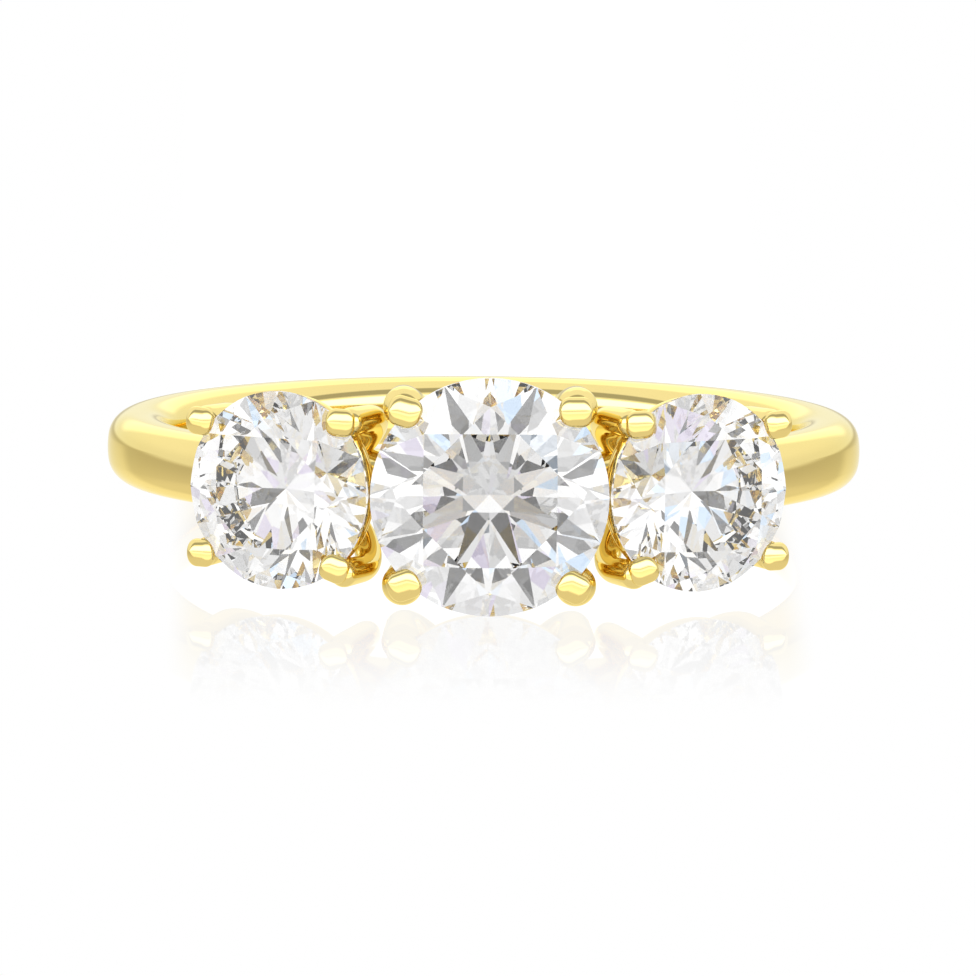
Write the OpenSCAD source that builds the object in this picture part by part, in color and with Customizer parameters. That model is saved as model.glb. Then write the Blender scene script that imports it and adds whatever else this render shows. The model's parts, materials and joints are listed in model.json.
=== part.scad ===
// Three stone ring: a polished gold ring with three round brilliants, each in a
// four-claw cup setting. Millimetres, +Z up.
// The ring lies on its side as it rests by itself: it stands on the girdle of the
// centre stone and on the back of its band, and the head faces -Y.

/* [Band] */
// Diameter of the finger hole
finger_d = 17.5; // [15:0.25:21]
// Width of the band along the finger
band_w = 1.9; // [1.7:0.05:2.6]
// Thickness of the band's wall
band_t = 1.75; // [1.6:0.05:2.1]
// Radius of the domed outer face, across the band
dome_r = 2.4; // [2:0.1:6]
// Rounding of the band's outer edges
outer_edge_r = 0.7; // [0.3:0.05:0.75]
// Rounding of the band's inner edges
inner_edge_r = 0.7; // [0.3:0.05:0.75]

/* [Stones] */
// Diameter of the centre stone
centre_d = 6.5; // [5.5:0.1:7.5]
// Metal left under the point of the centre stone, down to the finger hole
centre_floor = 0.45; // [0.4:0.05:1.2]
// Diameter of each side stone
side_d = 5.4; // [4.5:0.1:6]
// Metal left under the point of each side stone, down to the finger hole
side_floor = 0.98; // [0.6:0.02:1.4]
// Space between the girdles of neighbouring stones
stone_gap = 0.07; // [0.04:0.01:0.4]

/* [Brilliant cut] */
// Width of the table across its flats, as a share of the stone's diameter
table_share = 0.56; // [0.5:0.01:0.62]
// Slope of the main crown facets, in degrees
crown_angle = 34.5; // [31:0.5:36]
// Slope of the main pavilion facets, in degrees
pavilion_angle = 40.75; // [39.5:0.25:42]
// Thickness of the girdle at its corners, as a share of the diameter
girdle_share = 0.03; // [0.028:0.001:0.045]
// Reach of the star facets from the table to the girdle, as a share
star_share = 0.5; // [0.4:0.05:0.6]
// Reach of the lower half facets from the girdle to the culet, as a share
lower_half_share = 0.77; // [0.65:0.01:0.85]

/* [Claws] */
// Diameter of the centre setting's claws at the girdle
centre_claw_d = 1.12; // [0.9:0.02:1.3]
// Diameter of the centre setting's claw wires where they bend
centre_wire_d = 0.96; // [0.8:0.02:1.1]
// Diameter of a side setting's claws at the girdle
side_claw_d = 0.86; // [0.7:0.02:1]
// Diameter of a side setting's claw wires where they bend
side_wire_d = 0.74; // [0.6:0.02:0.9]
// Angle of the centre setting's claws from the line of the band, in degrees
centre_claw_angle = 46; // [42:1:52]
// Angle of a side setting's two upper claws, in degrees
upper_claw_angle = 42; // [36:1:50]
// Angle of a side setting's lower claw beside the centre stone, in degrees
near_claw_angle = 48; // [36:1:50]
// Angle of a side setting's lower claw at the end of the head, in degrees
far_claw_angle = 39; // [36:1:50]
// Distance of the centre setting's claws outside the stone's girdle, at their middle
centre_claw_out = 0.13; // [0.08:0.01:0.2]
// Distance of a side setting's claws outside the stone's girdle, at their middle
side_claw_out = 0.2; // [0.1:0.01:0.25]
// Diameter of the centre setting's tips
centre_tip_d = 0.8; // [0.7:0.02:0.9]
// Diameter of a side setting's tips
side_tip_d = 0.7; // [0.6:0.02:0.76]
// Length of each tip, as a share of its diameter
tip_share = 1.15; // [1:0.05:1.3]
// Slope of each tip up the crown, in degrees
tip_slope = 20; // [10:1:30]
// Height of each tip's middle above the middle of the girdle, as a share of its diameter
tip_rise = 0.4; // [0.3:0.02:0.46]
// Distance of each tip's middle inside the middle of its wire
tip_inset = 0.1; // [0.05:0.01:0.2]
// Bend radius of the centre setting's wires, at the middle of the wire
centre_bend_r = 1.3; // [1.1:0.05:2.4]
// Bend radius of a side setting's wires, at the middle of the wire
side_bend_r = 1.5; // [1:0.05:2.3]
// Diameter of the wire ring under each girdle, which joins the claws
rail_d = 0.5; // [0.4:0.02:0.6]
// Drop of that ring's middle below the middle of the girdle
rail_drop = 0.6; // [0.5:0.02:0.9]
// Distance of that ring's outer side inside the girdle
rail_in = 0.12; // [0.1:0.01:0.25]
// Clearance between each stone and the metal
seat_gap = 0.03; // [0.02:0.01:0.08]

/* [Hidden] */
$fn = 96;

// Band
finger_r = finger_d / 2;
band_r = finger_r + band_t;
half_w = band_w / 2;
dome_x = band_r - dome_r;
edge_z = half_w - outer_edge_r;
edge_x = dome_x + sqrt(pow(dome_r - outer_edge_r, 2) - edge_z * edge_z);
dome_turn = atan2(edge_z, edge_x - dome_x);
inner_x = finger_r + inner_edge_r;
inner_z = half_w - inner_edge_r;

centre_r = centre_d / 2;
side_r = side_d / 2;

// Heights of a brilliant of girdle radius 1, measured from the middle of its girdle
facet_turn = 22.5;
half_girdle = girdle_share;
table_r = table_share / cos(facet_turn);
table_z = half_girdle + (1 - table_r) * tan(crown_angle);
culet_z = -half_girdle - tan(pavilion_angle);
star_r = table_share + star_share * (1 - table_share);
star_z = table_z - (star_r * cos(facet_turn) - table_r) * tan(crown_angle);
lower_r = 1 - lower_half_share;
lower_z = culet_z + lower_r * cos(facet_turn) * tan(pavilion_angle);

// Distance from the middle of the finger hole to each girdle. Each side stone is
// turned round the band until its girdle clears the centre stone.
centre_girdle = finger_r + centre_floor - culet_z * centre_r;
side_girdle = finger_r + side_floor - culet_z * side_r;
side_turn = asin((centre_r + stone_gap) / norm([side_girdle, side_r]))
    + atan2(side_r, side_girdle);

// The feet of the claw wires run in the middle of the band's wall
foot_x = finger_r + band_t / 2;
// Least length of a foot and of the straight wire beside the stone
LEAST = 0.1;
// Ends of the feet from the stone's axis, in wire radii, which keeps them apart
FOOT_END = 1.55;
// Rounding of a tip's ends, in tip diameters
TIP_EDGE = 0.28;

// Resting pose: the ring leans until its band's back and the centre stone both touch
// the surface
rest_y = centre_girdle - half_girdle * centre_r + edge_x;
rest_z = centre_r - edge_z;
lean = acos(outer_edge_r / norm([rest_y, rest_z])) - atan2(rest_y, rest_z);
lift = edge_x * sin(lean) + edge_z * cos(lean) + outer_edge_r;
front_y = (centre_girdle + table_z * centre_r) * cos(lean)
    + table_share * centre_r * sin(lean);
back_y = dome_x * cos(lean) + dome_r;
shift = (front_y - back_y) / 2;

// Steps along half of the band's dome and along each rounded edge
DOME_STEPS = 4;
EDGE_STEPS = 5;

// Stretches of the girdle between two facet corners, and steps along each of them
SECTORS = 16;
STEPS = 4;
GIRDLE = SECTORS * STEPS;

function ring_point(radius, turn, z) = [radius * cos(turn), radius * sin(turn), z];

// Height at which the flat facet through a corner point and the two ends of its
// girdle stretch meets the round girdle
function scallop(corner_r, corner_z, edge_z, offset) =
    let (
        middle = facet_turn / 2,
        near = corner_r * cos(middle),
        chord = cos(middle),
        slope = (edge_z - corner_z) / (chord - near)
    )
    edge_z + (cos(offset) - chord) * slope;

// Turn of a girdle point from the middle of its sector
function offset(i) = ((i % STEPS) / STEPS - 0.5) * facet_turn;

function girdle_row(corner_r, corner_z, edge_z) =
    [for (i = [0:GIRDLE - 1])
        ring_point(1, i * 360 / GIRDLE, scallop(corner_r, corner_z, edge_z, offset(i)))];

// Points of a brilliant of girdle radius 1. Star and lower corners stand at 0, 45, 90
// and so on, table and main facets between them.
brilliant_points = concat(
    [for (k = [0:7]) ring_point(table_r, (k + 0.5) * 45, table_z)],
    [for (k = [0:7]) ring_point(star_r, k * 45, star_z)],
    girdle_row(star_r, star_z, half_girdle),
    girdle_row(lower_r, lower_z, -half_girdle),
    [for (k = [0:7]) ring_point(lower_r, k * 45, lower_z)],
    [[0, 0, culet_z]]
);

function table_pt(k) = k % 8;
function star_pt(k) = 8 + k % 8;
function upper_pt(i) = 16 + i % GIRDLE;
function lower_pt(i) = 16 + GIRDLE + i % GIRDLE;
function half_pt(k) = 16 + 2 * GIRDLE + k % 8;
CULET = 24 + 2 * GIRDLE;

// Girdle steps from one star corner to the next, and from there to the main facet
PER_STAR = GIRDLE / 8;
PER_HALF = PER_STAR / 2;

brilliant_faces = concat(
    [[for (k = [0:7]) table_pt(7 - k)]],
    [for (k = [0:7]) [table_pt(k + 7), table_pt(k), star_pt(k)]],
    [for (k = [0:7]) [table_pt(k), star_pt(k + 1), upper_pt(k * PER_STAR + PER_HALF), star_pt(k)]],
    [for (k = [0:7], s = [0, 1])
        concat([star_pt(k + s)],
            [for (i = [PER_HALF:-1:0]) upper_pt(k * PER_STAR + s * PER_HALF + i)])],
    [for (i = [0:GIRDLE - 1]) [upper_pt(i), upper_pt(i + 1), lower_pt(i + 1), lower_pt(i)]],
    [for (k = [0:7], s = [0, 1])
        concat([half_pt(k + s)],
            [for (i = [0:PER_HALF]) lower_pt(k * PER_STAR + s * PER_HALF + i)])],
    [for (k = [0:7]) [half_pt(k), lower_pt(k * PER_STAR + PER_HALF), half_pt(k + 1), CULET]]
);

// Lays the ring on its side
module rested() {
    translate([0, shift, lift]) rotate([-lean, 0, 0]) children();
}

// Puts a stone's middle on its place round the band, its table facing out
module at_stone(girdle, turn) {
    rotate([0, 0, turn]) translate([0, -girdle, 0]) rotate([90, 0, 0]) children();
}

module centre_place() {
    at_stone(centre_girdle, 0) children();
}

module side_place(side) {
    at_stone(side_girdle, side * side_turn) children();
}

module brilliant(radius) {
    scale(radius) polyhedron(brilliant_points, brilliant_faces, convexity = 2);
}

// Room for a stone: the round form that holds all its facets, and the clearance
module seat_cut(radius) {
    corners = [[lower_r, lower_z], [1, -half_girdle], [1, half_girdle], [star_r, star_z],
        [table_r, table_z]];
    rotate_extrude() polygon(concat(
        [[0, culet_z * radius - 2 * seat_gap]],
        [for (c = corners) radius * c + seat_gap * [1, sign(c[1])]],
        [[0, table_z * radius + seat_gap]]
    ));
}

// Points along an arc round [x, z], without its first point where skip is 1
function arc(x, z, radius, from, to, steps, skip = 0) =
    [for (i = [skip:steps])
        let (turn = from + (to - from) * i / steps)
        [x + radius * cos(turn), z + radius * sin(turn)]];

// Upper half of the band's section, from the crest of its domed outer face over both
// rounded edges to its flat inner face
half_section = concat(
    arc(dome_x, 0, dome_r, 0, dome_turn, DOME_STEPS),
    arc(edge_x, edge_z, outer_edge_r, dome_turn, 90, EDGE_STEPS, 1),
    arc(inner_x, inner_z, inner_edge_r, 90, 180, EDGE_STEPS)
);

module shank() {
    last = len(half_section) - 1;
    rotate_extrude() polygon(concat(
        half_section,
        [for (i = [last:-1:1]) [half_section[i][0], -half_section[i][1]]]
    ));
}

// The upright part of a claw: it widens from its wire to the girdle and has a round
// end above
module upright(wire_r, claw_r, length) {
    rotate_extrude() {
        polygon([[0, 0], [wire_r, 0], [claw_r, length], [0, length]]);
        translate([0, length]) intersection() {
            circle(claw_r);
            square(claw_r);
        }
    }
}

// The end of a claw, bent over the crown: a short bar with rounded ends, which points
// to the stone's middle
module tip(tip_d) {
    edge = TIP_EDGE * tip_d;
    side = tip_d / 2 - edge;
    end = tip_share * tip_d / 2 - edge;
    rotate([0, tip_slope - 90, 0]) rotate_extrude() polygon(concat(
        [[0, -end - edge]],
        arc(side, -end, edge, -90, 0, EDGE_STEPS),
        arc(side, end, edge, 0, 90, EDGE_STEPS),
        [[0, end + edge]]
    ));
}

// One claw in the plane of its wire: X runs out from the stone's middle and Z up to
// its table. The wire leaves the band under the stone, bends up beside it and ends in
// a tip over the crown.
module claw(stone_r, claw_out, drop, claw_d, wire_d, bend_r, tip_d) {
    wire_r = wire_d / 2;
    reach = stone_r + claw_out;
    foot_end = FOOT_END * wire_r;
    bend = min(bend_r, drop - LEAST, reach - foot_end - LEAST);
    foot = reach - bend - foot_end;
    translate([reach - bend, 0, bend - drop]) {
        translate([-foot, 0, -bend]) rotate([0, 90, 0]) cylinder(r = wire_r, h = foot);
        rotate([90, 0, 0]) rotate_extrude(angle = -90) translate([bend, 0]) circle(wire_r);
        translate([bend, 0, 0]) upright(wire_r, claw_d / 2, drop - bend);
    }
    translate([reach - tip_inset, 0, tip_rise * tip_d]) tip(tip_d);
}

// The wire ring that joins the claws under the girdle
module rail(stone_r) {
    translate([0, 0, -rail_drop]) rotate_extrude()
        translate([stone_r - rail_in - rail_d / 2, 0]) circle(rail_d / 2);
}

// Claws and a rail round the centre stone
module centre_setting() {
    for (up = [0, 180], side = [-1, 1])
        rotate([0, 0, up + side * centre_claw_angle])
            claw(centre_r, centre_claw_out, centre_girdle - foot_x, centre_claw_d,
                centre_wire_d, centre_bend_r, centre_tip_d);
    rail(centre_r);
}

// Claws and a rail round the right stone, where -X points to the centre stone
module right_setting() {
    turns = [upper_claw_angle, 180 - upper_claw_angle, 180 + near_claw_angle, -far_claw_angle];
    for (turn = turns)
        rotate([0, 0, turn])
            claw(side_r, side_claw_out, side_girdle - foot_x, side_claw_d, side_wire_d,
                side_bend_r, side_tip_d);
    rail(side_r);
}

module ring_mount() {
    color("#e6c35c") rested() difference() {
        union() {
            shank();
            centre_place() centre_setting();
            side_place(1) right_setting();
            mirror([1, 0, 0]) side_place(1) right_setting();
        }
        centre_place() seat_cut(centre_r);
        for (side = [-1, 1]) side_place(side) seat_cut(side_r);
    }
}

module centre_stone() {
    color("#e4eaf2") rested() centre_place() brilliant(centre_r);
}

module left_stone() {
    color("#dfe3ea") rested() side_place(-1) brilliant(side_r);
}

module right_stone() {
    color("#dfe3ea") rested() side_place(1) brilliant(side_r);
}

ring_mount();
centre_stone();
left_stone();
right_stone();
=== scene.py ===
"""Looks of the three stone ring: polished gold metalwork, three brilliants and a soft studio."""

import json
import logging
import math
from dataclasses import dataclass, field, replace
from enum import Enum
from typing import Iterable, Sequence, Union

import bpy
from mathutils import Matrix, Vector


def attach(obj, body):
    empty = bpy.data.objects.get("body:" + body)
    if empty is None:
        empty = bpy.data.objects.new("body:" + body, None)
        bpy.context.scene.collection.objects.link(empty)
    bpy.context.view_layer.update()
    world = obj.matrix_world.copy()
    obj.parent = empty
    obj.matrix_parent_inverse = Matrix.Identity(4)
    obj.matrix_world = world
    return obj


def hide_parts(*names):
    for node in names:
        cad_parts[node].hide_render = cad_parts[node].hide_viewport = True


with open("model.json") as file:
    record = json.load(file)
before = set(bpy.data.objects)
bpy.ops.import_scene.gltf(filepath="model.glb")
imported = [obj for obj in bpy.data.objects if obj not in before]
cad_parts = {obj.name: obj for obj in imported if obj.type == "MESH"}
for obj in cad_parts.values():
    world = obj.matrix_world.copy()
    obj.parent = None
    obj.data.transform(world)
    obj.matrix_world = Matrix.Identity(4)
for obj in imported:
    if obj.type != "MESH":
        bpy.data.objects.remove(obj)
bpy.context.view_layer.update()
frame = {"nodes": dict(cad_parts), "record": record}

ROOT = "root"
METAL_NODE = "ring_mount"
STONE_NODES = ("centre_stone", "left_stone", "right_stone")
MM = 0.001
WELD = 0.0005
MIX_FACTOR, MIX_LOW, MIX_HIGH, MIX_RESULT = 0, 6, 7, 2
GIRDLE_SHARE = 0.999
QUARTER_TURN = math.pi / 2
FULL_TURN = 2 * math.pi
STONE_BOUNCES = 28
METAL_BOUNCES = 12

log = logging.getLogger("three_stone_ring")


class Solve(Enum):
    """How one solid is combined with another."""

    CUT = "DIFFERENCE"
    JOIN = "UNION"


class Tint(Enum):
    """Linear colours of the finishes."""

    GOLD = (0.82, 0.65, 0.255)
    GOLD_WORN = (0.79, 0.61, 0.225)
    GOLD_EDGE = (1.0, 0.97, 0.72)
    DIAMOND = (1.0, 1.0, 1.0)
    DIAMOND_CLOUD = (0.90, 0.88, 0.84)
    FLOOR = (1.0, 1.0, 1.0)
    FLOOR_BASE = (0.0, 0.0, 0.0)
    SKY = (0.99, 1.02, 1.05)
    GROUND = (1.0, 0.97, 0.88)
    ICE = (0.72, 0.9, 1.12)
    LILAC = (0.98, 0.9, 1.1)


Value = Union[float, Sequence[float], "Socket", bpy.types.NodeSocket]


class Socket:
    """A shader value that Python expressions can work on."""

    def __init__(self, shader: "Shader", output: bpy.types.NodeSocket | None) -> None:
        """Wraps a node's output.

        Args:
            shader: The shader that the output belongs to.
            output: The output itself, or None for the last node of a tree.
        """
        self.shader = shader
        self.output = output

    def _maths(self, operation: str, *values: Value) -> "Socket":
        """Adds a Math node for one operation on these values."""
        return self.shader.node("ShaderNodeMath", {"operation": operation}, dict(enumerate(values)))

    def __add__(self, other: Value) -> "Socket":
        """Sum of two values."""
        return self._maths("ADD", self, other)

    def __rsub__(self, other: Value) -> "Socket":
        """Difference with the number on the left."""
        return self._maths("SUBTRACT", other, self)

    def __mul__(self, other: Value) -> "Socket":
        """Product of two values."""
        return self._maths("MULTIPLY", self, other)

    __radd__ = __add__
    __rmul__ = __mul__

    def ramp(self, low: float, high: float) -> "Socket":
        """Rises smoothly from 0 at low to 1 at high.

        Args:
            low: Value at which the result is 0.
            high: Value at which the result is 1.

        Returns:
            The risen value.
        """
        return self.shader.node(
            "ShaderNodeMapRange",
            {"interpolation_type": "SMOOTHSTEP", "clamp": True},
            {"Value": self, "From Min": low, "From Max": high},
        )


class Shader:
    """The node tree of one material or of the world."""

    def __init__(self, tree: bpy.types.NodeTree) -> None:
        """Empties the tree.

        Args:
            tree: The tree that the nodes go into.
        """
        self.tree = tree
        tree.nodes.clear()

    def node(
        self,
        kind: str,
        settings: dict[str, object] | None = None,
        inputs: dict[Union[str, int], Value] | None = None,
        output: Union[str, int] = 0,
    ) -> Socket:
        """Adds one node.

        Args:
            kind: The node's type.
            settings: Its properties, which are set before its inputs.
            inputs: Values or links for its input sockets.
            output: Name or number of the output that is handed back.

        Returns:
            The chosen output.
        """
        made = self.tree.nodes.new(kind)
        for name, value in (settings or {}).items():
            setattr(made, name, value)
        for name, value in (inputs or {}).items():
            self.feed(made.inputs[name], value)
        return Socket(self, made.outputs[output] if made.outputs else None)

    def feed(self, target: bpy.types.NodeSocket, value: Value) -> None:
        """Links a socket to another, or sets its value.

        Args:
            target: The input socket.
            value: A socket, a number or a colour.
        """
        if isinstance(value, Socket):
            self.tree.links.new(value.output, target)
        elif target.type == "RGBA" and len(value) == 3:
            target.default_value = (*value, 1.0)
        else:
            target.default_value = value

    def blend(self, factor: Value, low: Value, high: Value) -> Socket:
        """Mixes two colours.

        Args:
            factor: Share of the second colour.
            low: Colour at 0.
            high: Colour at 1.

        Returns:
            The mixed colour.
        """
        inputs = {MIX_FACTOR: factor, MIX_LOW: low, MIX_HIGH: high}
        return self.node("ShaderNodeMix", {"data_type": "RGBA"}, inputs, output=MIX_RESULT)

    def noise(self, where: Socket, scale: float, detail: float = 2.0) -> Socket:
        """Soft noise on a vector.

        Args:
            where: The vector that the noise is read at.
            scale: Waves in each metre.
            detail: Octaves of finer noise.

        Returns:
            The noise, about 0.5 on the whole.
        """
        inputs = {"Vector": where, "Scale": scale, "Detail": detail}
        return self.node("ShaderNodeTexNoise", {}, inputs)

    def place(self) -> Socket:
        """Object coordinates, which are metres in the shared frame."""
        return self.node("ShaderNodeTexCoord", output="Object")

    def axis(self, vector: Socket, name: str) -> Socket:
        """One part of a vector.

        Args:
            vector: The vector.
            name: X, Y or Z.

        Returns:
            The part along that axis.
        """
        return self.node("ShaderNodeSeparateXYZ", {}, {0: vector}, output=name)


@dataclass(frozen=True)
class PolishedGold:
    """Yellow gold with a soft polish."""

    name: str = "polished_gold"
    roughness: float = 0.05
    roughness_spread: float = 0.04
    patch_scale: float = 420.0
    patch_detail: float = 3.0
    worn_from: float = 0.35
    worn_to: float = 0.75
    worn_tint: float = 0.35
    buff_scale: float = 5200.0
    buff_depth: float = 0.02
    buff_height: float = 0.000004

    def material(self) -> bpy.types.Material:
        """Builds the gold.

        Returns:
            A metal whose polish and colour vary a little.
        """
        made = bpy.data.materials.new(self.name)
        made.use_nodes = True
        shader = Shader(made.node_tree)
        place = shader.place()
        patches = shader.noise(place, self.patch_scale, self.patch_detail)
        buffing = shader.noise(place, self.buff_scale)
        normal = shader.node(
            "ShaderNodeBump",
            {},
            {"Strength": self.buff_depth, "Distance": self.buff_height, "Height": buffing},
        )
        worn = patches.ramp(self.worn_from, self.worn_to)
        surface = shader.node(
            "ShaderNodeBsdfPrincipled",
            {},
            {
                "Base Color": shader.blend(
                    worn * self.worn_tint, Tint.GOLD.value, Tint.GOLD_WORN.value
                ),
                "Metallic": 1.0,
                "Specular Tint": Tint.GOLD_EDGE.value,
                "Roughness": worn * self.roughness_spread + self.roughness,
                "Normal": normal,
            },
        )
        shader.node("ShaderNodeOutputMaterial", {}, {"Surface": surface})
        return made


@dataclass(frozen=True)
class Diamond:
    """Clear cut stone of high refraction."""

    name: str
    cloud: float
    refraction: float = 2.417
    cloud_scale: float = 900.0
    cloud_detail: float = 3.0
    cloud_from: float = 0.45
    cloud_to: float = 0.75

    def material(self) -> bpy.types.Material:
        """Builds the stone.

        Returns:
            A clear glass with faint clouds.
        """
        made = bpy.data.materials.new(self.name)
        made.use_nodes = True
        shader = Shader(made.node_tree)
        clouds = shader.noise(shader.place(), self.cloud_scale, self.cloud_detail)
        clouds = clouds.ramp(self.cloud_from, self.cloud_to)
        surface = shader.node(
            "ShaderNodeBsdfPrincipled",
            {},
            {
                "Base Color": shader.blend(
                    clouds * self.cloud, Tint.DIAMOND.value, Tint.DIAMOND_CLOUD.value
                ),
                "Roughness": 0.0,
                "IOR": self.refraction,
                "Transmission Weight": 1.0,
            },
        )
        shader.node("ShaderNodeOutputMaterial", {}, {"Surface": surface})
        return made


@dataclass(frozen=True)
class FloorPaint:
    """White sheet with a glow of its own, polished in front of the ring's head."""

    name: str = "pale_floor"
    gloss: float = 0.6
    roughness: float = 0.03
    half_width: float = 0.0078
    side_fade: float = 0.0088
    fade_from: float = -0.0125
    fade_to: float = -0.0225

    def material(self) -> bpy.types.Material:
        """Builds the sheet's finish.

        Returns:
            A white surface, part of which mirrors faintly.
        """
        made = bpy.data.materials.new(self.name)
        made.use_nodes = True
        made.cycles.emission_sampling = "NONE"
        shader = Shader(made.node_tree)
        place = shader.place()
        across = shader.axis(place, "X")
        sides = (across * across).ramp(self.half_width**2, self.side_fade**2)
        ahead = shader.axis(place, "Y").ramp(self.fade_to, self.fade_from)
        surface = shader.node(
            "ShaderNodeBsdfPrincipled",
            {},
            {
                "Base Color": Tint.FLOOR_BASE.value,
                "Roughness": 1.0,
                "Specular IOR Level": 0.0,
                "Coat Weight": (1 - sides) * ahead * self.gloss,
                "Coat Roughness": self.roughness,
                "Emission Color": Tint.FLOOR.value,
                "Emission Strength": 1.0,
            },
        )
        shader.node("ShaderNodeOutputMaterial", {}, {"Surface": surface})
        return made


@dataclass(frozen=True)
class Place:
    """A local frame in the shared frame: its origin and its Z and Y directions."""

    origin: Vector
    out: Vector
    across: Vector

    def matrix(self) -> Matrix:
        """Turns local millimetres into metres of the shared frame.

        Returns:
            The matrix, with the scale in it.
        """
        side = self.across.cross(self.out).normalized()
        turned = Matrix((side, self.out.cross(side), self.out)).transposed().to_4x4()
        return Matrix.Translation(self.origin) @ turned @ Matrix.Scale(MM, 4)


@dataclass(frozen=True)
class StonePlace(Place):
    """Where a stone of the frame lies, and how wide it is in millimetres."""

    node: str
    radius: float


def ring_place() -> Place:
    """Reads the finger hole's middle and axis from the record.

    Returns:
        The ring's frame: Z along the finger, Y away from the head.
    """
    hole = frame["record"]["mounts"][0]
    axis = Vector(hole["axis"]).normalized()
    back = Vector((1, 0, 0)).cross(axis).normalized()
    if back.y < 0:
        back.negate()
    return Place(Vector(hole["pos_m"]), axis, back)


def stone_place(node: str, ring: Place) -> StonePlace:
    """Measures a stone: its axis runs out from the ring's middle through its own.

    Args:
        node: The stone's node.
        ring: The ring's frame.

    Returns:
        The stone's frame at the middle of its girdle, Z out of its table.
    """
    points = [v.co.copy() for v in frame["nodes"][node].data.vertices]
    middle = sum(points, Vector()) / len(points)
    out = (middle - ring.origin).normalized()
    reach = [(p - ring.origin).cross(out).length for p in points]
    radius = max(reach)
    edge = [p for p, r in zip(points, reach) if r > radius * GIRDLE_SHARE]
    girdle = [(p - ring.origin).dot(out) for p in edge]
    height = (min(girdle) + max(girdle)) / 2
    return StonePlace(ring.origin + out * height, out, ring.out, node, radius / MM)


def deselect() -> None:
    """Leaves object mode with nothing selected."""
    if bpy.context.object and bpy.context.object.mode != "OBJECT":
        bpy.ops.object.mode_set(mode="OBJECT")
    bpy.ops.object.select_all(action="DESELECT")


def choose(*objects: bpy.types.Object) -> None:
    """Selects these objects alone and makes the first one active.

    Args:
        objects: The objects to select.
    """
    deselect()
    for item in objects:
        item.select_set(True)
    bpy.context.view_layer.objects.active = objects[0]


class Bench:
    """One mesh that is worked on in edit mode, in local millimetres.

    Each step works on the loop that the step before it left selected.
    """

    def __init__(self, name: str, start: Vector, radius: float = 0.0, sides: int = 3) -> None:
        """Starts with one point, or with a round loop that faces along X.

        Args:
            name: Name of the piece.
            start: Where the point or the loop's middle is.
            radius: Radius of the loop, or 0 for a point.
            sides: Number of points on the loop.
        """
        deselect()
        bpy.ops.mesh.primitive_circle_add(
            vertices=sides, radius=radius or 1.0, location=start, rotation=(0, QUARTER_TURN, 0)
        )
        self.made = bpy.context.active_object
        self.made.name = name
        self.middle = start.copy()
        self.radius = radius
        bpy.ops.object.transform_apply(location=True, rotation=True, scale=True)
        bpy.ops.object.mode_set(mode="EDIT")
        bpy.ops.mesh.select_all(action="SELECT")
        if not radius:
            bpy.ops.mesh.merge(type="CENTER")

    def pull(self, by: Vector) -> None:
        """Extrudes the selected loop, or the selected point, in a straight line.

        Args:
            by: How far it goes.
        """
        bpy.ops.mesh.extrude_region_move(TRANSFORM_OT_translate={"value": by})
        self.middle += by

    def run(self, by: Vector, radius: float) -> None:
        """Extrudes the selected loop and gives it another size.

        Args:
            by: How far its middle goes.
            radius: Its new radius.
        """
        self.pull(by)
        factor = radius / self.radius
        bpy.ops.transform.resize(value=(factor,) * 3, center_override=self.middle)
        self.radius = radius

    def sweep(self, middle: Vector, axis: Vector, turn: float, steps: int) -> None:
        """Spins the selection about an axis, right-handed.

        Args:
            middle: A point of the axis.
            axis: Direction of the axis.
            turn: Angle, in radians.
            steps: Stretches that the turn is made of.
        """
        bpy.ops.mesh.spin(steps=steps, angle=turn, center=middle, axis=-axis)
        self.middle = middle + Matrix.Rotation(turn, 3, axis) @ (self.middle - middle)

    def arc(self, x: float, z: float, turn: float, steps: int) -> None:
        """Draws an arc in the XZ plane, turning from +X towards +Z.

        Args:
            x: X of its middle.
            z: Z of its middle.
            turn: Angle, in radians.
            steps: Stretches that the arc is made of.
        """
        self.sweep(Vector((x, 0, z)), Vector((0, -1, 0)), turn, steps)

    def lathe(self, steps: int) -> None:
        """Spins the whole outline once round Z.

        Args:
            steps: Stretches of the full turn.
        """
        self.weld()
        self.sweep(Vector(), Vector((0, 0, 1)), FULL_TURN, steps)
        self.weld()

    def cap(self) -> None:
        """Fills the selected loop with a face."""
        bpy.ops.mesh.edge_face_add()

    def weld(self) -> None:
        """Merges doubled points and selects everything."""
        bpy.ops.mesh.select_all(action="SELECT")
        bpy.ops.mesh.remove_doubles(threshold=WELD)

    def close(self) -> None:
        """Fills the one loop that is still open."""
        self.weld()
        bpy.ops.mesh.select_all(action="DESELECT")
        bpy.ops.mesh.select_non_manifold()
        self.cap()

    def finish(self) -> bpy.types.Object:
        """Points every face outwards and leaves edit mode.

        Returns:
            The finished mesh.
        """
        self.weld()
        bpy.ops.mesh.normals_make_consistent(inside=False)
        bpy.ops.object.mode_set(mode="OBJECT")
        return self.made


def combine(piece: bpy.types.Object, tool: bpy.types.Object, how: Solve) -> None:
    """Applies a boolean, and keeps the tool.

    Args:
        piece: The solid that changes.
        tool: The solid that it is combined with.
        how: Cut or join.
    """
    choose(piece)
    step = piece.modifiers.new("solid", "BOOLEAN")
    step.operation = how.value
    step.solver = "EXACT"
    step.object = tool
    bpy.ops.object.modifier_apply(modifier=step.name)


def copy_of(piece: bpy.types.Object, matrix: Matrix) -> bpy.types.Object:
    """Copies a piece with a mesh of its own, and moves the copy.

    Args:
        piece: The piece to copy.
        matrix: Where the copy goes.

    Returns:
        The copy, whose place is in its mesh.
    """
    choose(piece)
    bpy.ops.object.duplicate()
    made = bpy.context.active_object
    settle(made, matrix)
    return made


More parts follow.
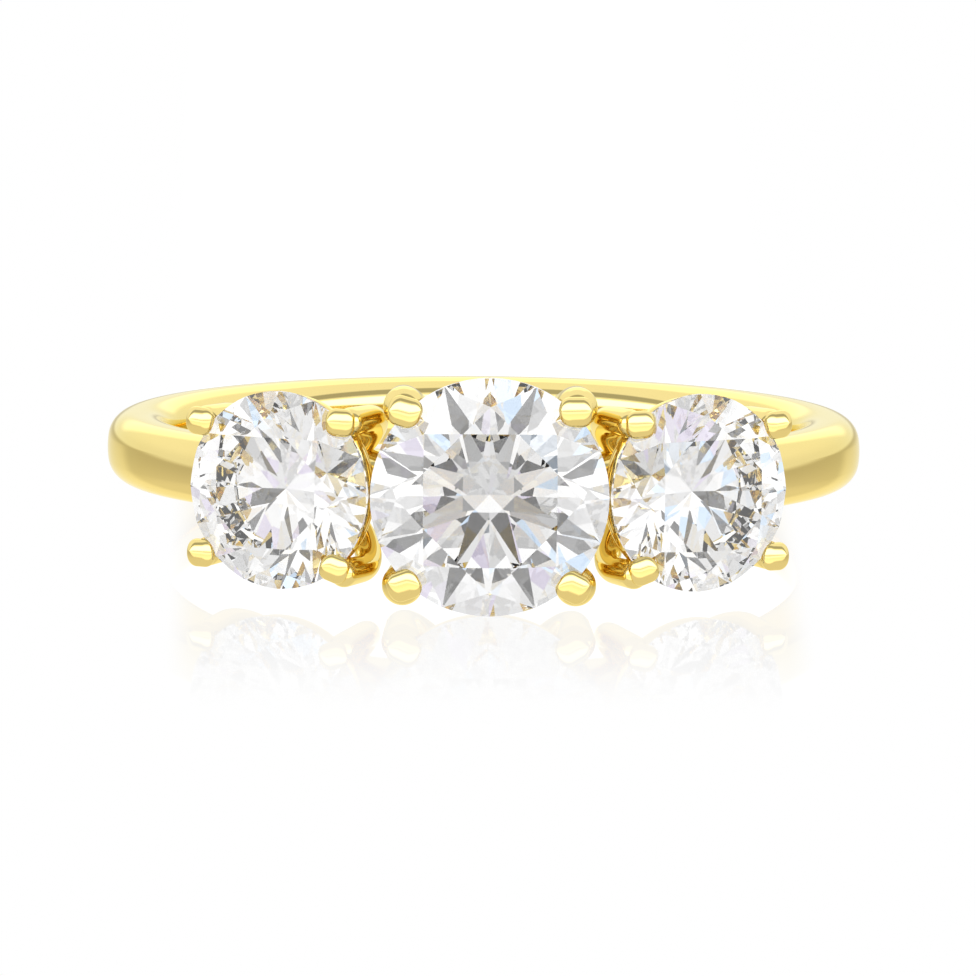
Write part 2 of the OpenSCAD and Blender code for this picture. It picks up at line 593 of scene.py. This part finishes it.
def settle(piece: bpy.types.Object, matrix: Matrix) -> None:
    """Moves a piece and applies the move to its mesh.

    Args:
        piece: The piece.
        matrix: Where it goes.
    """
    choose(piece)
    piece.matrix_world = matrix @ piece.matrix_world
    bpy.ops.object.transform_apply(location=True, rotation=True, scale=True)


def gather(pieces: Sequence[bpy.types.Object]) -> bpy.types.Object:
    """Makes several separate solids one mesh.

    Args:
        pieces: The solids, which don't touch each other.

    Returns:
        The mesh that holds them all.
    """
    choose(*pieces)
    bpy.ops.object.join()
    return pieces[0]


def scrap(pieces: Iterable[bpy.types.Object]) -> None:
    """Removes tools that are no longer needed.

    Args:
        pieces: The objects to remove.
    """
    for piece in pieces:
        bpy.data.objects.remove(piece)


@dataclass
class Band:
    """The ring's band: a flat bore, a domed outside and rounded edges, in millimetres."""

    bore: float
    width: float = 1.9
    wall: float = 1.75
    dome: float = 2.4
    outer_edge: float = 0.7
    inner_edge: float = 0.7
    turn_steps: int = 400
    dome_steps: int = 10
    edge_steps: int = 8

    def build(self) -> bpy.types.Object:
        """Draws the section arc by arc and spins it round the finger.

        Returns:
            The band in the ring's own frame.
        """
        outside = self.bore + self.wall
        half = self.width / 2
        dome_x = outside - self.dome
        edge_z = half - self.outer_edge
        edge_x = dome_x + math.sqrt((self.dome - self.outer_edge) ** 2 - edge_z**2)
        inner_x = self.bore + self.inner_edge
        inner_z = half - self.inner_edge
        tilt = math.atan2(edge_z, edge_x - dome_x)
        across = Vector((inner_x - edge_x, 0, 0))
        bench = Bench("band", Vector((outside, 0, 0)))
        bench.arc(dome_x, 0, tilt, self.dome_steps)
        bench.arc(edge_x, edge_z, QUARTER_TURN - tilt, self.edge_steps)
        bench.pull(across)
        bench.arc(inner_x, inner_z, QUARTER_TURN, self.edge_steps)
        bench.pull(Vector((0, 0, -2 * inner_z)))
        bench.arc(inner_x, -inner_z, QUARTER_TURN, self.edge_steps)
        bench.pull(-across)
        bench.arc(edge_x, -edge_z, QUARTER_TURN - tilt, self.edge_steps)
        bench.arc(dome_x, 0, tilt, self.dome_steps)
        bench.lathe(self.turn_steps)
        return bench.finish()


@dataclass
class Seat:
    """Room for one stone: a turned form that holds all its facets, and the clearance."""

    radius: float
    gap: float = 0.03
    table: float = 0.56
    crown_angle: float = 34.5
    pavilion_angle: float = 40.75
    girdle: float = 0.03
    star: float = 0.5
    lower_half: float = 0.77
    facet_turn: float = 22.5
    steps: int = 160

    def outline(self) -> list[Vector]:
        """Works out the corners of the cut's envelope.

        Returns:
            Points in the XZ plane, from under the culet to over the table.
        """
        step = math.cos(math.radians(self.facet_turn))
        crown = math.tan(math.radians(self.crown_angle))
        pavilion = math.tan(math.radians(self.pavilion_angle))
        table_r = self.table / step
        table_z = self.girdle + (1 - table_r) * crown
        star_r = self.table + self.star * (1 - self.table)
        star_z = table_z - (star_r * step - table_r) * crown
        lower_r = 1 - self.lower_half
        culet = -self.girdle - pavilion
        lower_z = culet + lower_r * step * pavilion
        corners = ((lower_r, lower_z), (1, -self.girdle), (1, self.girdle), (star_r, star_z),
                   (table_r, table_z))
        points = [Vector((0, 0, culet * self.radius - 2 * self.gap))]
        for x, z in corners:
            raised = math.copysign(self.gap, z)
            points.append(Vector((x * self.radius + self.gap, 0, z * self.radius + raised)))
        points.append(Vector((0, 0, table_z * self.radius + self.gap)))
        return points

    def build(self) -> bpy.types.Object:
        """Turns the outline into a solid.

        Returns:
            The cutting tool in the stone's own frame.
        """
        points = self.outline()
        bench = Bench("seat", points[0])
        for last, point in zip(points, points[1:]):
            bench.pull(point - last)
        bench.lathe(self.steps)
        return bench.finish()


@dataclass(frozen=True)
class Tip:
    """Where one claw stands and how its tip lies: angles in degrees, shift in millimetres."""

    turn: float
    slant: float = 0.0
    rise: float = 15.0
    shift: tuple[float, float] = (0.0, 0.0)

    def mirrored(self) -> "Tip":
        """The same claw on the other side of the head.

        Returns:
            The claw mirrored in the ring's middle plane.
        """
        along, across = self.shift
        return replace(self, turn=180 - self.turn, slant=-self.slant, shift=(-along, across))


@dataclass(frozen=True)
class Claws:
    """Sizes of a setting's claws, in millimetres, and how its tips lie."""

    head_d: float
    wire_d: float
    tip_d: float
    tip_l: float
    bend_r: float
    out: float
    tips: tuple[Tip, ...]

    def mirrored(self) -> "Claws":
        """The same claws for the stone on the other side of the head.

        Returns:
            Claws mirrored in the ring's middle plane.
        """
        return replace(self, tips=tuple(tip.mirrored() for tip in self.tips))


CENTRE_CLAWS = Claws(
    head_d=1.12,
    wire_d=0.96,
    tip_d=0.84,
    tip_l=0.93,
    bend_r=1.3,
    out=0.13,
    tips=(
        Tip(46, shift=(-0.04, -0.07)),
        Tip(134, slant=-15, shift=(0.03, -0.09)),
        Tip(226, slant=22, shift=(0.04, 0.06)),
        Tip(314, slant=-28, shift=(-0.07, 0.03)),
    ),
)
SIDE_CLAWS = Claws(
    head_d=0.79,
    wire_d=0.74,
    tip_d=0.77,
    tip_l=0.8,
    bend_r=1.5,
    out=0.2,
    tips=(
        Tip(38, slant=6, rise=0, shift=(0.02, 0)),
        Tip(137, slant=3, shift=(0.13, 0)),
        Tip(228, slant=22, shift=(0.1, 0.15)),
        Tip(321, rise=0),
    ),
)


@dataclass
class Setting:
    """Four claws and the rail that joins them, round one stone, in millimetres."""

    name: str
    stone: StonePlace
    claws: Claws
    foot_level: float
    foot_end: float = 1.55
    least: float = 0.1
    dome_top: float = 0.24
    dome_share: float = 0.9
    tip_edge: float = 0.36
    tip_flat: float = 0.55
    tip_level: float = 0.35
    rail_d: float = 0.5
    rail_drop: float = 0.6
    rail_in: float = 0.12
    sides: int = 48
    bend_steps: int = 28
    round_steps: int = 8
    rail_steps: int = 160

    def claw(self) -> bpy.types.Object:
        """Models one claw wire from its foot in the band to its rounded end at the girdle.

        Returns:
            The claw in the plane Y = 0, outward along X.
        """
        wire = self.claws.wire_d / 2
        reach = self.stone.radius + self.claws.out
        start = self.foot_end * wire
        bend = min(self.claws.bend_r, self.foot_level - self.least, reach - start - self.least)
        bench = Bench("claw", Vector((start, 0, -self.foot_level)), wire, self.sides)
        bench.pull(Vector((reach - bend - start, 0, 0)))
        bench.arc(reach - bend, bend - self.foot_level, QUARTER_TURN, self.bend_steps)
        head = self.claws.head_d / 2
        edge = head * self.dome_share
        for index in range(self.round_steps + 1):
            turn = QUARTER_TURN * index / self.round_steps
            level = self.dome_top - edge * (1 - math.sin(turn))
            bench.run(Vector((0, 0, level - bench.middle.z)), head - edge * (1 - math.cos(turn)))
        bench.cap()
        bench.close()
        return bench.finish()

    def tip(self) -> bpy.types.Object:
        """Models one tip: a short bar with rounded ends, pressed a little flat.

        Returns:
            The tip, along X.
        """
        edge = self.tip_edge * self.claws.tip_d
        half = self.claws.tip_l / 2
        flat = self.claws.tip_d / 2 - edge
        bench = Bench("tip", Vector((0, 0, -half)))
        bench.pull(Vector((flat, 0, 0)))
        bench.arc(flat, edge - half, QUARTER_TURN, self.round_steps)
        bench.pull(Vector((0, 0, 2 * (half - edge))))
        bench.arc(flat, half - edge, QUARTER_TURN, self.round_steps)
        bench.pull(Vector((-flat, 0, 0)))
        bench.lathe(self.sides)
        made = bench.finish()
        pressed = Matrix.Diagonal((1, 1, self.tip_flat, 1))
        settle(made, pressed @ Matrix.Rotation(QUARTER_TURN, 4, "Y"))
        return made

    def tip_place(self, tip: Tip) -> Matrix:
        """Works out where a tip goes.

        Args:
            tip: The claw, with the slant, rise and shift of its tip.

        Returns:
            The tip's place in the stone's own frame.
        """
        angle = math.radians(tip.turn)
        reach = self.stone.radius + self.claws.out
        rise = math.copysign(math.radians(tip.rise), math.cos(angle))
        middle = Vector((reach * math.cos(angle), reach * math.sin(angle), 0))
        place = middle + Vector((*tip.shift, self.tip_level * self.claws.tip_d))
        lying = Matrix.Rotation(math.radians(tip.slant), 4, "Z") @ Matrix.Rotation(rise, 4, "Y")
        return Matrix.Translation(place) @ lying

    def rail(self) -> bpy.types.Object:
        """Models the wire ring under the girdle.

        Returns:
            The rail in the stone's own frame.
        """
        deselect()
        wire = self.rail_d / 2
        bpy.ops.mesh.primitive_torus_add(
            major_radius=self.stone.radius - self.rail_in - wire,
            minor_radius=wire,
            major_segments=self.rail_steps,
            minor_segments=self.sides // 2,
            location=(0, 0, -self.rail_drop),
        )
        made = bpy.context.active_object
        bpy.ops.object.transform_apply(location=True, rotation=True, scale=True)
        return made

    def build(self) -> bpy.types.Object:
        """Joins four claws and the rail to one solid.

        Returns:
            The setting in the stone's own frame.
        """
        claw, bar, made = self.claw(), self.tip(), self.rail()
        uprights: list[bpy.types.Object] = []
        tips: list[bpy.types.Object] = []
        for tip in self.claws.tips:
            uprights.append(copy_of(claw, Matrix.Rotation(math.radians(tip.turn), 4, "Z")))
            tips.append(copy_of(bar, self.tip_place(tip)))
        for parts in (uprights, tips):
            tool = gather(parts)
            combine(made, tool, Solve.JOIN)
            scrap([tool])
        scrap([claw, bar])
        made.name = self.name
        return made


@dataclass
class Metalwork:
    """The band and the three settings, which are one casting."""

    ring: Place
    stones: list[StonePlace]
    name: str = "ring_metal"
    smooth_angle: float = 32.0

    def build(self) -> None:
        """Models the band and the settings, joins them and cuts the seats."""
        bore = frame["record"]["mounts"][0]["dims"]["r_mm"]
        band = Band(bore)
        home = self.ring.matrix()
        settings: list[bpy.types.Object] = []
        seats: list[bpy.types.Object] = []
        casting = band.build()
        log.info("%s: %d faces", casting.name, len(casting.data.polygons))
        claws = (CENTRE_CLAWS, SIDE_CLAWS.mirrored(), SIDE_CLAWS)
        for stone, sizes in zip(self.stones, claws):
            local = home.inverted() @ stone.matrix()
            drop = local.to_translation().length - bore - band.wall / 2
            setting = Setting(stone.node.replace("stone", "setting"), stone, sizes, drop).build()
            settle(setting, local)
            settings.append(setting)
            log.info("%s: %d faces", setting.name, len(setting.data.polygons))
            seat = Seat(stone.radius).build()
            settle(seat, local)
            seats.append(seat)
        for setting in settings:
            combine(casting, setting, Solve.JOIN)
        room = gather(seats)
        combine(casting, room, Solve.CUT)
        scrap([*settings, room])
        casting.name = self.name
        settle(casting, home)
        self.dress(casting, PolishedGold().material())

    def dress(self, piece: bpy.types.Object, gold: bpy.types.Material) -> None:
        """Smooths a piece, finishes it in gold and hangs it on the frame.

        Args:
            piece: The piece.
            gold: Its finish.
        """
        choose(piece)
        bpy.ops.object.shade_smooth_by_angle(angle=math.radians(self.smooth_angle))
        piece.data.materials.clear()
        piece.data.materials.append(gold)
        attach(piece, ROOT)
        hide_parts(METAL_NODE)
        log.info("%s: %d faces", piece.name, len(piece.data.polygons))


@dataclass(frozen=True)
class Strip:
    """Light across the tent between two turns, in degrees: 0 in front, 90 overhead."""

    start: float
    end: float
    gain: float
    half_width: float = 1.0
    side_blur: float = 0.15
    blur: float = 3.0


@dataclass(frozen=True)
class Patch:
    """Round patch of the tent, by the way to its middle and its two radii in degrees."""

    middle: tuple[float, float, float]
    outer: float
    inner: float


@dataclass
class Tent:
    """Light round the ring.

    The polished metal and the sharp stones each see a look of their own, as on a photo that
    is put together from several exposures.
    """

    camera: Vector
    horizon: tuple[float, float] = (-0.09, -0.02)
    walls: float = 1.05
    wall_rise: float = 0.12
    wall_fade: tuple[float, float] = (0.0, 0.4)
    ground: float = 0.66
    ground_rise: float = 0.28
    ground_fade: tuple[float, float] = (0.05, 0.5)
    metal_strips: tuple[Strip, ...] = (
        Strip(14, 49, 1.9, blur=4),
        Strip(59, 83, -0.65),
        Strip(-32, 4, 0.8, blur=5),
        Strip(128, 174, 0.4, half_width=0.3),
        Strip(-172, -125, 0.2, half_width=0.5),
    )
    stone_walls: float = 1.03
    stone_ground: float = 0.8
    stone_strips: tuple[Strip, ...] = (
        Strip(28, 62, 0.25),
        Strip(69, 100, -0.35),
    )
    opening: float = 0.88
    opening_outer: float = 19.0
    opening_inner: float = 13.0
    ice: Patch = Patch((0.5, -0.8, 0.3), 16, 11)
    lilac: Patch = Patch((-0.35, -0.9, -0.25), 14, 10)
    shader: Shader = field(init=False)
    direction: Socket = field(init=False)
    parts: dict[str, Socket] = field(init=False)
    turn: Socket = field(init=False)

    def build(self) -> None:
        """Makes the world."""
        world = bpy.data.worlds.new("light_tent")
        world.use_nodes = True
        bpy.context.scene.world = world
        self.look_round(world.node_tree)
        above = self.parts["Z"].ramp(*self.horizon)
        sharp = self.path("Is Singular Ray")
        seen = self.path("Is Camera Ray")
        level = sharp * self.stone_level(above) + (1 - sharp) * self.metal_level(above)
        level = seen + (1 - seen) * level
        tint = self.shader.blend(above, Tint.GROUND.value, Tint.SKY.value)
        tint = self.shader.blend(sharp, tint, self.stone_tint())
        tint = self.shader.blend(seen, tint, Tint.FLOOR.value)
        surface = self.shader.node("ShaderNodeBackground", {}, {"Color": tint, "Strength": level})
        self.shader.node("ShaderNodeOutputWorld", {}, {"Surface": surface})

    def look_round(self, tree: bpy.types.NodeTree) -> None:
        """Reads where a ray goes: its direction, and its turn about the X axis.

        Args:
            tree: The world's node tree.
        """
        self.shader = Shader(tree)
        self.direction = self.shader.node("ShaderNodeTexCoord", output="Generated")
        self.parts = {name: self.shader.axis(self.direction, name) for name in "XYZ"}
        settings = {"operation": "ARCTAN2"}
        inputs = {0: self.parts["Z"], 1: 0 - self.parts["Y"]}
        self.turn = self.shader.node("ShaderNodeMath", settings, inputs)

    def metal_level(self, above: Socket) -> Socket:
        """Works out the light that the metal mirrors.

        Args:
            above: 1 above the horizon and 0 below it.

        Returns:
            How bright each direction is.
        """
        height = self.parts["Z"]
        level = self.ground + self.ground_rise * (0 - height).ramp(*self.ground_fade)
        level = level + above * (self.walls - self.ground)
        level = level + self.wall_rise * height.ramp(*self.wall_fade)
        return self.light(level, self.metal_strips)

    def stone_level(self, above: Socket) -> Socket:
        """Works out the light that the stones see, with a dark opening at the camera.

        Args:
            above: 1 above the horizon and 0 below it.

        Returns:
            How bright each direction is.
        """
        level = self.stone_ground + above * (self.stone_walls - self.stone_ground)
        level = self.light(level, self.stone_strips)
        lens = Patch(tuple(self.camera), self.opening_outer, self.opening_inner)
        return level * (1 - self.opening * self.patch(lens))

    def path(self, kind: str) -> Socket:
        """Tells which rays see the tent.

        Args:
            kind: Name of the Light Path output.

        Returns:
            1 for these rays and 0 for all others.
        """
        return self.shader.node("ShaderNodeLightPath", output=kind)

    def light(self, level: Socket, strips: Sequence[Strip]) -> Socket:
        """Adds strips of light.

        Args:
            level: The tent without them.
            strips: The strips.

        Returns:
            The tent with them.
        """
        across = self.parts["X"] * self.parts["X"]
        for strip in strips:
            sides = across.ramp(strip.half_width**2, (strip.half_width + strip.side_blur) ** 2)
            between = self.past(strip.start, strip.blur) * (1 - self.past(strip.end, strip.blur))
            level = level + between * (1 - sides) * strip.gain
        return level

    def past(self, turn: float, blur: float) -> Socket:
        """Marks the part of the tent that lies past a turn about the X axis.

        Args:
            turn: The turn, in degrees.
            blur: Half the width of its soft edge, in degrees.

        Returns:
            1 past the turn and 0 before it.
        """
        return self.turn.ramp(math.radians(turn - blur), math.radians(turn + blur))

    def patch(self, patch: Patch) -> Socket:
        """Marks a round, soft-edged patch of the tent.

        Args:
            patch: The patch.

        Returns:
            1 in the patch and 0 outside.
        """
        settings = {"operation": "DOT_PRODUCT"}
        inputs = {0: self.direction, 1: tuple(Vector(patch.middle).normalized())}
        along = self.shader.node("ShaderNodeVectorMath", settings, inputs, output="Value")
        outer = math.cos(math.radians(patch.outer))
        return along.ramp(outer, math.cos(math.radians(patch.inner)))

    def stone_tint(self) -> Socket:
        """Colours two patches, which stand for the stones' fire.

        Returns:
            The colour that the stones see.
        """
        tint = self.shader.blend(self.patch(self.ice), Tint.FLOOR.value, Tint.ICE.value)
        return self.shader.blend(self.patch(self.lilac), tint, Tint.LILAC.value)


@dataclass
class Studio:
    """Floor, light and camera."""

    azimuth: float = -0.87
    elevation: float = 12.59
    roll: float = 0.57
    distance: float = 0.4
    pixels: int = 976
    scale: float = 35.79
    ring_x: float = 483.6
    ring_y: float = 447.35
    floor_size: float = 1.2
    sensor: float = 36.0
    nearest: float = 0.01
    farthest: float = 10.0

    def build(self) -> None:
        """Makes the floor, the light and the camera."""
        self.floor()
        Tent(self.back()).build()
        self.camera()

    def floor(self) -> None:
        """Lays the white sheet, which the camera alone sees."""
        bpy.ops.mesh.primitive_plane_add(size=self.floor_size)
        sheet = bpy.context.active_object
        sheet.name = "floor"
        sheet.visible_diffuse = sheet.visible_glossy = sheet.visible_transmission = False
        sheet.visible_shadow = False
        sheet.data.materials.append(FloorPaint().material())

    def back(self) -> Vector:
        """Works out the way from the ring to the camera.

        Returns:
            The direction, with a length of 1.
        """
        turn = math.radians(self.azimuth)
        rise = math.radians(self.elevation)
        level = math.cos(rise)
        return Vector((math.sin(turn) * level, -math.cos(turn) * level, math.sin(rise)))

    def camera(self) -> None:
        """Places the camera so that the ring's middle falls on its pixel."""
        back = self.back()
        facing = (-back).to_track_quat("-Z", "Y").to_matrix()
        turned = facing @ Matrix.Rotation(math.radians(self.roll), 3, "Z")
        across, upward = turned.col[0], turned.col[1]
        half = self.pixels / 2
        aim = (
            ring_place().origin
            + across * ((half - self.ring_x) / self.scale * MM)
            - upward * ((half - self.ring_y) / self.scale * MM)
        )
        data = bpy.data.cameras.new("photo_view")
        data.sensor_width = self.sensor
        data.lens = self.sensor * self.distance / (self.pixels / self.scale * MM)
        data.clip_start = self.nearest
        data.clip_end = self.farthest
        made = bpy.data.objects.new("photo_view", data)
        bpy.context.scene.collection.objects.link(made)
        made.matrix_world = Matrix.Translation(aim + back * self.distance) @ turned.to_4x4()
        bpy.context.scene.camera = made


def dress(node: str, material: bpy.types.Material) -> None:
    """Gives a node of the frame its finish.

    Args:
        node: The node's name.
        material: The finish for all its slots.
    """
    slots = frame["nodes"][node].material_slots
    for slot in slots:
        slot.material = material
    log.info("%s: %s on %d slots", node, material.name, len(slots))


def main() -> None:
    """Builds the ring's looks and its studio."""
    logging.basicConfig(level=logging.INFO, format="%(message)s")
    scene = bpy.context.scene
    scene.view_settings.view_transform = "Standard"
    scene.cycles.max_bounces = STONE_BOUNCES
    scene.cycles.transmission_bounces = STONE_BOUNCES
    scene.cycles.glossy_bounces = METAL_BOUNCES
    ring = ring_place()
    stones = [stone_place(node, ring) for node in STONE_NODES]
    Metalwork(ring, stones).build()
    clear = Diamond("clear_diamond", cloud=0.2).material()
    cloudy = Diamond("cloudy_diamond", cloud=0.6).material()
    for node, finish in zip(STONE_NODES, (clear, cloudy, cloudy)):
        dress(node, finish)
    Studio().build()
    log.info("floor, light and camera are in place")


if __name__ == "__main__":
    main()
